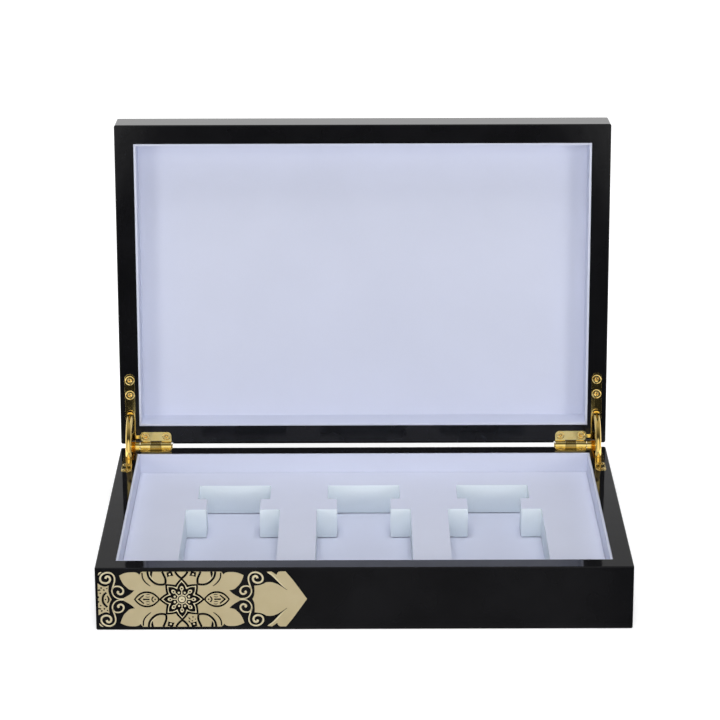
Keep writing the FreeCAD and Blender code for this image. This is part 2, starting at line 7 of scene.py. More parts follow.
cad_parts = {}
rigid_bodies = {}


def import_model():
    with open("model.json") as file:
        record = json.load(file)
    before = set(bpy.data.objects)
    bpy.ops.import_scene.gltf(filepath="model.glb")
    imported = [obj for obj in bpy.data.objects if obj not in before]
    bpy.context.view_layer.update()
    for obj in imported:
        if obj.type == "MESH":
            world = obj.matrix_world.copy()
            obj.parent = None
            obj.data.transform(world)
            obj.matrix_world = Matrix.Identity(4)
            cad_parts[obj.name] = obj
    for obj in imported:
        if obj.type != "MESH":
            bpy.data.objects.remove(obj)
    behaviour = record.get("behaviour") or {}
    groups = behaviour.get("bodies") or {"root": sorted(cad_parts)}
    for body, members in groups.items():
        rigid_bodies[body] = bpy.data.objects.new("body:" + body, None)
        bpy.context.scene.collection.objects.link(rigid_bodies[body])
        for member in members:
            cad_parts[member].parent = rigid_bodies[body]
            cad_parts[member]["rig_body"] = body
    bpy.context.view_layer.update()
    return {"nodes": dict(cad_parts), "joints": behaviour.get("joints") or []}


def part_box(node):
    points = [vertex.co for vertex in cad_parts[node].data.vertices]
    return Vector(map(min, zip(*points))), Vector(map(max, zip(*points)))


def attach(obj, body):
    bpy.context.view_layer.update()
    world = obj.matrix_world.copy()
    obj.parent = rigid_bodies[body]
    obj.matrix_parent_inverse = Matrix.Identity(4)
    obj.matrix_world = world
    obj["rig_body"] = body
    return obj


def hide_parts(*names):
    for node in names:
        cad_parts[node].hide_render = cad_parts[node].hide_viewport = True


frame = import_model()
mm = 0.001
nodes = frame["nodes"]
lidJoint = next(joint for joint in frame["joints"] if joint["child"] == "lid")
lidTravel = math.radians(max(lidJoint["range_deg"]))


# selecting and shaping, as by hand

def pick(*things):
    for thing in bpy.context.view_layer.objects:
        thing.select_set(False)
    for thing in things:
        thing.select_set(True)
    bpy.context.view_layer.objects.active = things[0]


def edit(on):
    bpy.ops.object.mode_set(mode="EDIT" if on else "OBJECT")


def applyAll(piece):
    pick(piece)
    for modifier in list(piece.modifiers):
        bpy.ops.object.modifier_apply(modifier=modifier.name)


def modify(piece, kind, **settings):
    modifier = piece.modifiers.new(kind.lower(), kind)
    for name, value in settings.items():
        setattr(modifier, name, value)


def setPlace(piece, matrix):
    # the place goes into the mesh, and the object stays at the origin
    piece.matrix_world = matrix
    pick(piece)
    bpy.ops.object.transform_apply(location=True, rotation=True, scale=True)


def joined(name, pieces):
    pick(*pieces)
    if len(pieces) > 1:
        bpy.ops.object.join()
    piece = bpy.context.view_layer.objects.active
    piece.name = name
    piece.data.name = name
    return piece


def outward(piece):
    pick(piece)
    edit(True)
    bpy.ops.mesh.select_all(action="SELECT")
    bpy.ops.mesh.normals_make_consistent(inside=False)
    edit(False)


def smooth(piece, degrees):
    pick(piece)
    bpy.ops.object.shade_smooth_by_angle(angle=math.radians(degrees))


def paint(piece, *materials):
    piece.data.materials.clear()
    for material in materials:
        piece.data.materials.append(material)


def hand(piece, body, slot, *stoodFor):
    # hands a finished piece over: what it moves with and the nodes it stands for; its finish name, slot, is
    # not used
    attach(piece, body)
    if stoodFor:
        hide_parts(*stoodFor)


# materials

class Signal:  # a socket that takes part in plain arithmetic
    def __init__(self, finish, socket):
        self.finish = finish
        self.socket = socket

    def __add__(self, other):
        return self.finish.maths("ADD", self, other)

    def __radd__(self, other):
        return self.finish.maths("ADD", other, self)

    def __sub__(self, other):
        return self.finish.maths("SUBTRACT", self, other)

    def __rsub__(self, other):
        return self.finish.maths("SUBTRACT", other, self)

    def __mul__(self, other):
        return self.finish.maths("MULTIPLY", self, other)

    def __rmul__(self, other):
        return self.finish.maths("MULTIPLY", other, self)


class Finish:  # one material and its nodes
    def __init__(self, name, **values):
        self.material = bpy.data.materials.new(name)
        self.material.use_nodes = True
        self.tree = self.material.node_tree
        self.shader = self.tree.nodes["Principled BSDF"]
        self.place = self.node("ShaderNodeTexCoord", {}, {}, "Object")
        for label, value in values.items():
            self.feed(self.shader.inputs[label.replace("_", " ")], value)

    def node(self, kind, settings, values, output=0):
        made = self.tree.nodes.new(kind)
        for name, value in settings.items():
            setattr(made, name, value)
        for name, value in values.items():
            self.feed(made.inputs[name], value)
        return Signal(self, made.outputs[output])

    def feed(self, socket, value):
        if isinstance(value, Signal):
            self.tree.links.new(value.socket, socket)
        else:
            socket.default_value = value

    def maths(self, operation, left, right):
        return self.node("ShaderNodeMath", {"operation": operation}, {0: left, 1: right})

    def stretched(self, along):
        return self.node("ShaderNodeVectorMath", {"operation": "MULTIPLY"}, {0: self.place, 1: along})

    def noise(self, size, detail, rough=0.5, place=None):
        # a soft random pattern with features about size metres across
        values = {"Vector": place or self.place, "Scale": 1 / size, "Detail": detail, "Roughness": rough}
        return self.node("ShaderNodeTexNoise", {}, values)

    def spread(self, signal, low, high, fromLow=0.3, fromHigh=0.7):
        # low at fromLow and high at fromHigh; a noise keeps mostly between 0.3 and 0.7
        values = {"Value": signal, "From Min": fromLow, "From Max": fromHigh, "To Min": low, "To Max": high}
        return self.node("ShaderNodeMapRange", {}, values)

    def blend(self, share, first, second):
        return self.node("ShaderNodeMix", {"data_type": "RGBA"}, {0: share, 6: first, 7: second}, 2)

    def bump(self, height, depth):
        self.shader.inputs["Normal"].default_value = (0, 0, 0)
        values = {"Height": height, "Distance": depth, "Strength": 1.0}
        self.feed(self.shader.inputs["Normal"], self.node("ShaderNodeBump", {}, values, "Normal"))


marks = {  # how far apart the marks of each finish lie, how deep they are and how they dull it
    "lacquerCloud": 30 * mm,
    "lacquerWipes": 12 * mm,
    "lacquerRipple": 9 * mm,
    "lacquerDust": 1.2 * mm,
    "lacquerDepth": 0.02 * mm,
    "lacquerWear": 0.035,
    "cardCloud": 45 * mm,
    "cardFibres": 0.7 * mm,
    "cardDents": 4 * mm,
    "cardDepth": 0.03 * mm,
    "giltDraw": 1.6 * mm,
    "giltTarnish": 4 * mm,
    "giltRipple": 6 * mm,
    "giltDepth": 0.006 * mm,
    "giltWear": 0.06,
    "leafBrush": 0.6 * mm,
    "leafCloud": 12 * mm,
    "leafDepth": 0.012 * mm,
    "leafWear": (0.38, 0.52),
    "feltFluff": 0.9 * mm,
    "feltDepth": 0.3 * mm,
}


def tinted(shade, *parts):
    # a shade with each of its parts scaled, or all by the one that is given
    parts = parts if len(parts) == 3 else parts * 3
    return (*[min(1.0, level * part) for level, part in zip(shade, parts)], 1)


def lacquer(name, shade, gloss):
    # polished lacquer: nearly a mirror, with the faintest ripple and a few dull wipe marks
    finish = Finish(name, IOR=1.33)
    cloud = finish.noise(marks["lacquerCloud"], 2.0)
    finish.feed(finish.shader.inputs["Base Color"], finish.blend(
        finish.spread(cloud, 0.0, 1.0), tinted(shade, 1.0), tinted(shade, 1.6)))
    wipes = finish.noise(marks["lacquerWipes"], 4.0, 0.6, finish.stretched((0.35, 1.0, 1.0)))
    finish.feed(finish.shader.inputs["Roughness"], finish.spread(
        wipes, gloss, gloss + marks["lacquerWear"]))
    ripple = finish.noise(marks["lacquerRipple"], 1.0) + finish.noise(marks["lacquerDust"], 1.0) * 0.06
    finish.bump(ripple, marks["lacquerDepth"])
    return finish.material


def card(name, shade):
    # pale coated paper: fine fibres, a slight cloud in the tone
    finish = Finish(name, Roughness=0.62, IOR=1.35)
    cloud = finish.spread(finish.noise(marks["cardCloud"], 3.0), 0.0, 1.0)
    fibres = finish.noise(marks["cardFibres"], 3.0, 0.65, finish.stretched((1.0, 0.45, 1.0)))
    tone = finish.blend(cloud, tinted(shade, 0.965), tinted(shade, 1.0))
    finish.feed(finish.shader.inputs["Base Color"], finish.blend(
        finish.spread(fibres, 0.0, 0.25), tone, tinted(shade, 1.05)))
    finish.bump(fibres + finish.noise(marks["cardDents"], 2.0) * 0.8, marks["cardDepth"])
    return finish.material


def gilt(name, shade, gloss):
    # bright plated brass: mirror polish broken by fine draw marks
    finish = Finish(name, Metallic=1.0)
    drawn = finish.noise(marks["giltDraw"], 4.0, 0.6, finish.stretched((1.0, 0.25, 0.25)))
    finish.feed(finish.shader.inputs["Roughness"], finish.spread(
        drawn, gloss, gloss + marks["giltWear"]))
    tarnish = finish.spread(finish.noise(marks["giltTarnish"], 3.0), 0.0, 1.0)
    finish.feed(finish.shader.inputs["Base Color"], finish.blend(
        tarnish, tinted(shade, 1.0), tinted(shade, 0.95, 0.88, 0.7)))
    finish.bump(drawn + finish.noise(marks["giltRipple"], 1.0) * 0.5, marks["giltDepth"])
    return finish.material


def inlayGold(name, shade):
    # satin leaf: pale, lightly brushed along the box
    finish = Finish(name, Metallic=0.25, IOR=1.4)
    brushed = finish.noise(marks["leafBrush"], 3.0, 0.6, finish.stretched((0.08, 1.0, 1.0)))
    finish.feed(finish.shader.inputs["Roughness"], finish.spread(brushed, *marks["leafWear"]))
    cloud = finish.spread(finish.noise(marks["leafCloud"], 3.0), 0.0, 1.0)
    finish.feed(finish.shader.inputs["Base Color"], finish.blend(
        cloud, tinted(shade, 1.0), tinted(shade, 0.93, 0.92, 0.88)))
    finish.bump(brushed, marks["leafDepth"])
    return finish.material


def feltCloth(name, shade):
    # short dull fibres with a little sheen
    finish = Finish(name, Roughness=0.95, IOR=1.3, Sheen_Weight=0.4, Sheen_Roughness=0.5)
    fluff = finish.noise(marks["feltFluff"], 5.0, 0.75)
    finish.feed(finish.shader.inputs["Base Color"], finish.blend(
        finish.spread(fluff, 0.0, 1.0), tinted(shade, 1.0), tinted(shade, 2.2)))
    finish.bump(fluff, marks["feltDepth"])
    return finish.material


black = lacquer("black_lacquer", (0.0050, 0.0050, 0.0057), 0.03)
inkBlack = lacquer("inlay_black", (0.0030, 0.0028, 0.0026), 0.12)
liningCard = card("lining_paper", (0.66, 0.69, 0.82))
insertCard = card("insert_paper", (0.675, 0.705, 0.825))
# the recess walls' paper: greener, and paler than the insert's as painted light for light that doesn't reach
# into the recesses
recessWallPaintedLight = card("recess_paper", (0.83, 0.90, 0.94))
brass = gilt("gilt_brass", (1.0, 0.80, 0.31), 0.05)
stayBrass = gilt("stay_brass", (1.0, 0.73, 0.24), 0.06)
# a darker copy of the brass: painted shade for the base leaf's middle knuckle
knucklePaintedShadeBrass = gilt("shaded_brass", (0.42, 0.32, 0.12), 0.16)
screwBrass = gilt("gilt_screw", (1.0, 0.77, 0.29), 0.07)
leafGold = inlayGold("gold_leaf", (0.60, 0.51, 0.315))
lineGold = inlayGold("gold_line", (0.79, 0.70, 0.475))
felt = feltCloth("black_felt", (0.006, 0.006, 0.007))
print("materials made")


# the lacquered case: the CAD walls and panels keep their shape

def bodyOf(node):
    return nodes[node]["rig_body"]


for node in nodes:
    if node.endswith("_wall") or node in ("base_bottom_panel", "lid_top_panel"):
        paint(nodes[node], black)


easing = {
    "merge": 0.002 * mm,
    "flat": math.radians(0.4),  # faces that meet at less than this are one
    "sharp": math.radians(35),
    "segments": 2,
    "smoothTo": 30,  # degrees
    "faceWeight": 60,
}


def refined(node, name, edge):
    # a merged copy of a CAD node with its sharp edges eased
    piece = bpy.data.objects.new(name, nodes[node].data.copy())
    bpy.context.scene.collection.objects.link(piece)
    pick(piece)
    edit(True)
    bpy.ops.mesh.select_all(action="SELECT")
    bpy.ops.mesh.remove_doubles(threshold=easing["merge"])
    bpy.ops.mesh.dissolve_limited(angle_limit=easing["flat"])
    edit(False)
    bpy.ops.mesh.customdata_custom_splitnormals_clear()
    modify(piece, "BEVEL", width=edge, segments=easing["segments"], limit_method="ANGLE",
           angle_limit=easing["sharp"], harden_normals=False)
    applyAll(piece)
    smooth(piece, easing["smoothTo"])
    # large faces keep their own direction, so that polished plates mirror flatly
    modify(piece, "WEIGHTED_NORMAL", mode="FACE_AREA", weight=easing["faceWeight"], keep_sharp=True)
    applyAll(piece)
    return piece


# the linings and the insert

soft = {
    "boardEdge": 0.22 * mm,
    "insertEdge": 0.35 * mm,
    "feltEdge": 0.3 * mm,
    "wallMargin": 2 * mm,  # faces nearer the insert's outside than this aren't in a recess
    "steep": 0.35,  # a recess wall's normal rises less than this; these faces get the painted-light paper
    "footGap": 0.5 * mm,  # the dark line at the foot of the recess walls
}

for node in sorted(nodes):
    if "lining" in node:
        piece = refined(node, node.replace("_lining", "") + "_card", soft["boardEdge"])
        paint(piece, liningCard)
        hand(piece, bodyOf(node), "lining_paper", node)

insert = refined("insert_block", "insert", soft["insertEdge"])
paint(insert, insertCard, recessWallPaintedLight)
insertLow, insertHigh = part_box("insert_block")


def inRecess(spot):
    inside = min(spot.x - insertLow.x, insertHigh.x - spot.x, spot.y - insertLow.y, insertHigh.y - spot.y)
    return inside > soft["wallMargin"]


for vertex in insert.data.vertices:
    if inRecess(vertex.co):
        vertex.co.z = max(vertex.co.z, insertLow.z + soft["footGap"])
# painted light: steep faces in the recesses get the paler, greener wall paper
for face in insert.data.polygons:
    if abs(face.normal.z) < soft["steep"] and inRecess(face.center):
        face.material_index = 1
hand(insert, bodyOf("insert_block"), "insert_card", "insert_block")

underside = refined("base_felt", "underside_felt", soft["feltEdge"])
paint(underside, felt)
hand(underside, bodyOf("base_felt"), "felt", "base_felt")
print("linings and insert made")


# the hinges

fittings = {
    "leafEdge": 0.3 * mm,
    "stayEdge": 0.18 * mm,
    "pinEdge": 0.25 * mm,
    # the knuckle that stands in the lid leaf's gap, which gets painted shade: how far out, and how far from
    # the pin's line
    "knuckleFrom": 125.0 * mm,
    "knuckleTo": 131.8 * mm,
    "knuckleReach": 3.4 * mm,
}
pinLow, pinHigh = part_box("hinge_pin_left")
pinMiddle = (pinLow + pinHigh) / 2


def paintShadeOnKnuckle(leaf):
    # painted shade: the base leaf's middle knuckle lies in shade, so its faces get a darker brass
    paint(leaf, brass, knucklePaintedShadeBrass)
    for face in leaf.data.polygons:
        spot = face.center
        off = math.hypot(spot.y - pinMiddle.y, spot.z - pinMiddle.z)
        between = fittings["knuckleFrom"] < abs(spot.x) < fittings["knuckleTo"]
        if between and off < fittings["knuckleReach"]:
            face.material_index = 1


for side in ("left", "right"):
    for node, name, edge, material in (
        ("hinge_base_leaf_", "leaf_base_", fittings["leafEdge"], brass),
        ("hinge_lid_leaf_", "leaf_lid_", fittings["leafEdge"], brass),
        ("stay_", "quadrant_", fittings["stayEdge"], stayBrass),
        ("hinge_pin_", "pin_", fittings["pinEdge"], brass),
    ):
        piece = refined(node + side, name + side, edge)
        paint(piece, material)
        if node == "hinge_base_leaf_":
            paintShadeOnKnuckle(piece)
        hand(piece, bodyOf(node + side), "gilt_brass", node + side)
print("hinges made")


# the screws

screw = {
    "dome": 0.11 * mm,  # how far the head's middle stands above the leaf
    "rim": 0.22 * mm,
    "headDepth": 1.5 * mm,
    "core": 0.85 * mm,
    "thread": 0.34 * mm,
    "pitch": 1.0 * mm,
    "crossLength": 0.62,  # share of the head's width
    "crossWidth": 0.19,
    "crossDepth": 0.95 * mm,
    "taper": 0.45,
    "sides": 40,
    "coreSides": 24,
    "tip": 0.7,  # how far the point draws in, as a share of the core
    "edge": 0.07 * mm,
    "edgeFrom": math.radians(40),
    "smoothTo": 35,  # degrees
    "facing": 0.9,  # a face looks up or down when its normal is above this
    "nearMiddle": 0.01,  # share of the head's radius
    "domeRings": ((0.82, 0.55), (0.7, 0.45)),  # each ring's share of the last width and of the dome
    "stepsPerTurn": 12,
    "fade": 3,  # the thread is full after about a third of a turn
    "thin": 0.1,
}


def screwThread(shank):
    # a helix that fades out at both ends, swept with a sharp four sided section
    turns = (shank - screw["pitch"]) / screw["pitch"]
    steps = int(turns * screw["stepsPerTurn"])
    line = bpy.data.curves.new("thread", "CURVE")
    line.dimensions = "3D"
    line.bevel_depth = screw["thread"]
    line.bevel_resolution = 0
    line.use_fill_caps = True
    spline = line.splines.new("POLY")
    spline.points.add(steps)
    for step, point in enumerate(spline.points):
        angle = math.tau * step / screw["stepsPerTurn"]
        drop = screw["headDepth"] + screw["pitch"] * (0.5 + step / screw["stepsPerTurn"])
        point.co = (screw["core"] * math.cos(angle), screw["core"] * math.sin(angle), -drop, 1)
        turnsIn = min(step, steps - step) / screw["stepsPerTurn"]
        point.radius = min(1.0, screw["thin"] + screw["fade"] * turnsIn)
    thread = bpy.data.objects.new("thread", line)
    bpy.context.scene.collection.objects.link(thread)
    pick(thread)
    bpy.ops.object.convert(target="MESH")
    return bpy.context.view_layer.objects.active


def screwHead(radius):
    # a countersunk head: a disc drawn down to the core, with a low dome on top
    bpy.ops.mesh.primitive_cylinder_add(
        vertices=screw["sides"], radius=radius, depth=screw["rim"], location=(0, 0, -screw["rim"] / 2),
        end_fill_type="NGON")
    head = bpy.context.view_layer.objects.active
    bpy.ops.object.transform_apply(location=True, rotation=True, scale=True)
    edit(True)
    shape = bmesh.from_edit_mesh(head.data)
    neck = [(screw["core"] / radius, screw["headDepth"] - screw["rim"])]
    dome = [(scale, share * screw["dome"]) for scale, share in screw["domeRings"]]
    for up, rings in ((-1, neck), (1, dome)):
        for scale, climb in rings:
            for face in shape.faces:
                central = abs(face.calc_center_median().x) < radius * screw["nearMiddle"]
                face.select = central and face.normal.z * up > screw["facing"]
            bmesh.update_edit_mesh(head.data)
            bpy.ops.mesh.extrude_region_move(TRANSFORM_OT_translate={"value": (0, 0, up * climb)})
            bpy.ops.transform.resize(value=(scale, scale, 1))
            shape = bmesh.from_edit_mesh(head.data)
    edit(False)
    return head


def crossCutter(radius):
    # two crossed blades that narrow as they go down
    blades = []
    for turn in (0, math.pi / 2):
        bpy.ops.mesh.primitive_cube_add(size=1, location=(0, 0, 0))
        blade = bpy.context.view_layer.objects.active
        for vertex in blade.data.vertices:
            narrow = screw["taper"] if vertex.co.z < 0 else 1.0
            vertex.co.x *= 2 * radius * screw["crossLength"] * narrow
            vertex.co.y *= 2 * radius * screw["crossWidth"] * (0.5 + narrow / 2)
            vertex.co.z = -screw["crossDepth"] if vertex.co.z < 0 else screw["crossDepth"]
        setPlace(blade, Matrix.Rotation(turn, 4, "Z"))
        blades.append(blade)
    modify(blades[0], "BOOLEAN", object=blades[1], operation="UNION", solver="EXACT")
    applyAll(blades[0])
    bpy.data.objects.remove(blades[1])
    return blades[0]


def makeScrew(radius, length):
    head = screwHead(radius)
    cutter = crossCutter(radius)
    modify(head, "BOOLEAN", object=cutter, operation="DIFFERENCE", solver="EXACT")
    modify(head, "BEVEL", width=screw["edge"], segments=2, limit_method="ANGLE",
           angle_limit=screw["edgeFrom"])
    applyAll(head)
    bpy.data.objects.remove(cutter)
    shank = length - screw["headDepth"]
    bpy.ops.mesh.primitive_cylinder_add(
        vertices=screw["coreSides"], radius=screw["core"], depth=shank,
        location=(0, 0, -screw["headDepth"] - shank / 2))
    core = bpy.context.view_layer.objects.active
    bpy.ops.object.transform_apply(location=True, rotation=True, scale=True)
    edit(True)
    shape = bmesh.from_edit_mesh(core.data)
    for face in shape.faces:
        face.select = face.normal.z < -screw["facing"]
    bmesh.update_edit_mesh(core.data)
    bpy.ops.mesh.inset(thickness=screw["core"] * screw["tip"], depth=0)
    edit(False)
    made = joined("screw", [head, core, screwThread(shank)])
    smooth(made, screw["smoothTo"])
    return made


def islands(node, turned):
    # the boxes of a node's separate solids, in the frame of the rim that they are driven into
    work = bpy.data.objects.new("islands", nodes[node].data.copy())
    bpy.context.scene.collection.objects.link(work)
    pick(work)
    edit(True)
    bpy.ops.mesh.select_all(action="SELECT")
    bpy.ops.mesh.remove_doubles(threshold=easing["merge"])
    bpy.ops.mesh.separate(type="LOOSE")
    edit(False)
    found = []
    for part in list(bpy.context.selected_objects):
        corners = [turned.inverted() @ vertex.co for vertex in part.data.vertices]
        low = Vector([min(corner[axis] for corner in corners) for axis in range(3)])
        high = Vector([max(corner[axis] for corner in corners) for axis in range(3)])
        found.append((low, high))
        bpy.data.objects.remove(part)
    return sorted(found, key=lambda box: (box[0].x, box[0].y))


# the lid's rim looks down when it is shut, so at rest it is turned back by the lid's travel
lidRim = Matrix.Rotation(-lidTravel, 4, "X") @ Matrix.Rotation(math.pi, 4, "X")
screwTurns = (12, 47, 81, 30, 66, 5, 58, 20)  # degrees, as no two screws stop alike
master = {}
for node in sorted(nodes):
    if "_screws_" not in node:
        continue
    turned = lidRim if node.startswith("lid") else Matrix.Identity(4)
    copies = []
    for index, (low, high) in enumerate(islands(node, turned)):
        radius = round((high.x - low.x) / 2, 5)
        if radius not in master:
            master[radius] = makeScrew(radius, high.z - low.z)
        copy = bpy.data.objects.new("screw", master[radius].data.copy())
        bpy.context.scene.collection.objects.link(copy)
        seat = Matrix.Translation(((low.x + high.x) / 2, (low.y + high.y) / 2, high.z))
        turn = Matrix.Rotation(math.radians(screwTurns[(index + len(node)) % len(screwTurns)]), 4, "Z")
        setPlace(copy, turned @ seat @ turn)
        copies.append(copy)
    piece = joined(node.replace("_screws", "_screw_set"), copies)
    paint(piece, screwBrass)
    hand(piece, bodyOf(node), "gilt_screw", node)
for made in master.values():
    bpy.data.objects.remove(made)
print("screws made")


# the ornament on the front: gold sheet, black lines and a rosette, in thin layers, in millimetres
# across is from the rosette's middle to the right, up is from the middle of the front

inlay = {
    "rosette": 46.8,  # from the sheet's left end
    "top": 16.5,  # half the sheet's height
    "step": 0.028,  # each layer stands this much above the last
    "first": 0.05,
    "back": 0.004,  # where every layer's back lies, just off the wall
    "weld": 0.002,
    "curveSteps": 7,
    "lineWidth": 1.25,
}
rosette = {
    "petals": 8,
    "outline": (12.9, 9.35, 0.975),  # each star's tips, valleys and swell
    "petal": (11.4, 7.7, 0.972),
    "heart": (10.5, 6.6, 1.02),
    "hub": 2.9,
    "beadsAt": 4.3,
    "bead": 0.62,
    "dotsAt": 6.45,
    "dot": 0.5,
    "ring": 2.05,
    "ringWidth": 0.55,
    "ringSteps": 12,
    "eye": 0.35,
}
plateLow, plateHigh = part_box("front_ornament")
rosetteAt = Vector((plateLow.x + inlay["rosette"] * mm, plateHigh.y, (plateLow.z + plateHigh.z) / 2))
ontoFront = Matrix.Translation(rosetteAt) @ Matrix.Rotation(math.pi / 2, 4, "X") @ Matrix.Scale(mm, 4)


def curveObject(name, splines, closed):
    # splines of (across, up) points, smooth unless a third value marks a corner
    curve = bpy.data.curves.new(name, "CURVE")
    curve.dimensions = "2D"
    curve.resolution_u = inlay["curveSteps"]
    curve.fill_mode = "BOTH" if closed else "NONE"
    for points, widths in splines:
        spline = curve.splines.new("BEZIER")
        spline.bezier_points.add(len(points) - 1)
        spline.use_cyclic_u = closed
        for index, (point, target) in enumerate(zip(points, spline.bezier_points)):
            target.co = (point[0], point[1], 0)
            kind = "VECTOR" if len(point) > 2 else "AUTO"
            target.handle_left_type = target.handle_right_type = kind
            if not closed:
                share = index / (len(points) - 1)
                target.radius = widths[0] + (widths[1] - widths[0]) * share
                target.radius += 4 * share * (1 - share) * (widths[2] - (widths[0] + widths[1]) / 2)
    shape = bpy.data.objects.new(name, curve)
    bpy.context.scene.collection.objects.link(shape)
    return shape


def flatRibbon():
    # the section of every line: a flat strip, half a millimetre each side at radius 1
    shape = curveObject("ribbon", [], False)
    spline = shape.data.splines.new("POLY")
    spline.points.add(1)
    spline.points[0].co = (-0.5, 0, 0, 1)
    spline.points[1].co = (0.5, 0, 0, 1)
    return shape


ribbon = flatRibbon()


def thicken(shape, layer):
    # a flat curve at its layer's height, given a thickness back to the wall
    pick(shape)
    bpy.ops.object.convert(target="MESH")
    shape = bpy.context.view_layer.objects.active
    height = inlay["first"] + inlay["step"] * layer
    for vertex in shape.data.vertices:
        vertex.co.z = height
    modify(shape, "WELD", merge_threshold=inlay["weld"])
    modify(shape, "SOLIDIFY", thickness=height - inlay["back"], offset=-1.0)
    applyAll(shape)
    outward(shape)
    return shape


def fills(layer, outlines):
    return [thicken(curveObject("fill", [(outline, None)], True), layer) for outline in outlines]


def lines(layer, strokes):
    # each stroke is its points and its width at the start, the end and the middle
    made = curveObject("line", strokes, False)
    made.data.bevel_mode = "OBJECT"
    made.data.bevel_object = ribbon
    return [thicken(made, layer)]


def flip(points, across, up):
    return [(point[0] * across, point[1] * up, *point[2:]) for point in points]


def fourWays(points):
    return [flip(points, across, up) for across in (1, -1) for up in (1, -1)]


def twoWays(points):
    return [points, flip(points, 1, -1)]


def sideways(points):
    return [points, flip(points, -1, 1)]


def circle(across, up, radius):
    return [(across + radius * math.cos(angle), up + radius * math.sin(angle))
            for angle in (0, math.pi / 2, math.pi, 3 * math.pi / 2)]


def star(tip, valley, swell):
    # petals with pointed tips and slightly swollen sides
    points = []
    half = math.pi / rosette["petals"]
    for petal in range(rosette["petals"]):
        middle = 2 * half * petal
        points.append((tip * math.cos(middle), tip * math.sin(middle), 1))
        for turn in (0.5, 1.0, 1.5):
            angle = middle + turn * half
            radius = valley if turn == 1.0 else (tip + valley) / 2 * swell
            corner = (1,) if turn == 1.0 else ()
            points.append((radius * math.cos(angle), radius * math.sin(angle), *corner))
    return points


def around(points, offset=0.0):
    # the same figure, drawn pointing right, on every petal
    turns = [math.tau * (petal + offset) / rosette["petals"] for petal in range(rosette["petals"])]
    return [[(x * math.cos(turn) - y * math.sin(turn), x * math.sin(turn) + y * math.cos(turn), *rest)
             for x, y, *rest in points] for turn in turns]


top = inlay["top"]
fieldQuarter = [
    (-33.2, 0.0, 1), (-31.9, 1.1), (-30.0, 2.2), (-28.0, 3.7), (-26.4, 5.4, 1), (-29.2, 6.0), (-30.7, 7.3),
    (-32.3, 9.0), (-33.7, 11.7), (-34.6, 14.3, 1), (-31.1, 15.8), (-27.6, 16.2), (-24.6, 15.8),
    (-23.3, 14.8, 1), (-22.3, 16.2), (-21.6, top, 1),
]
upperField = fieldQuarter + flip(fieldQuarter, -1, 1)[::-1]
field = upperField + flip(upperField, 1, -1)[1:-1][::-1]
arrowHalf = [
    (39.3, 0.0, 1), (40.2, 2.2), (40.5, 5.0), (40.4, 8.0, 1), (42.4, 8.2), (45.0, 8.9), (46.9, 10.0, 1),
    (49.6, 10.1), (52.4, 9.3), (55.4, 7.6), (58.8, 5.1, 1), (55.3, 9.3), (52.4, 12.3), (49.8, 14.7),
    (47.4, 16.3, 1), (50.1, top, 1), (52.9, 14.4, 1), (53.7, 16.0), (54.8, top, 1), (57.9, top, 1),
    (61.2, 12.3), (64.8, 7.2), (69.7, 0.0, 1),
]
arrow = arrowHalf + flip(arrowHalf, 1, -1)[1:-1][::-1]
bandHalf = [
    (-46.7, 0.0, 1), (-46.7, 9.6, 1), (-44.6, 8.3), (-42.4, 7.7), (-40.5, 8.4, 1), (-40.8, 6.0),
    (-40.6, 3.6), (-39.9, 1.4), (-39.1, 0.0, 1),
]
band = bandHalf + flip(bandHalf, 1, -1)[1:-1][::-1]

scrollMain = [
    (-32.4, 0.32), (-35.3, 0.45), (-36.9, 1.2), (-38.2, 2.7), (-38.8, 4.6), (-38.5, 6.7), (-37.7, 9.3),
    (-37.2, 11.8), (-37.6, 14.0), (-39.0, 15.5), (-41.0, 16.0), (-43.1, 15.5), (-44.6, 14.2), (-45.2, 12.3),
    (-44.6, 10.6), (-43.0, 9.8), (-41.1, 10.0), (-39.9, 11.2), (-39.8, 12.7), (-40.7, 13.7), (-41.9, 13.4),
    (-42.2, 12.4),
]
scrollInner = [
    (-38.6, 5.9), (-37.6, 7.4), (-35.75, 7.8), (-33.9, 7.3), (-32.7, 5.75), (-32.7, 4.1), (-33.8, 3.1),
    (-35.0, 3.3), (-35.7, 4.2), (-35.1, 4.9),
]
cornerStreak = [(-46.4, 14.4), (-45.6, 15.6), (-44.3, 16.4)]
arrowStreak = [(47.9, 16.1), (50.6, 14.1), (53.2, 11.3), (55.6, 8.6), (58.0, 6.2)]

lobeLine = [
    (-18.9, top), (-18.2, 13.4), (-16.8, 11.4), (-15.0, 9.8), (-13.2, 9.0), (-11.0, 8.8), (-9.1, 9.1),
]
sideLine = [(-10.7, top), (-9.7, 14.2), (-8.9, 11.8), (-9.0, 9.2)]
outerLobeLine = [(-21.9, 15.9), (-21.5, 12.6), (-20.2, 10.4), (-18.6, 8.8), (-17.4, 7.9)]
crossLine = [(-3.5, top), (-2.2, 14.5), (-1.0, 13.3), (0.0, 12.5)]
lobeTick = [(-16.6, top), (-16.9, 14.6), (-16.7, 13.0)]
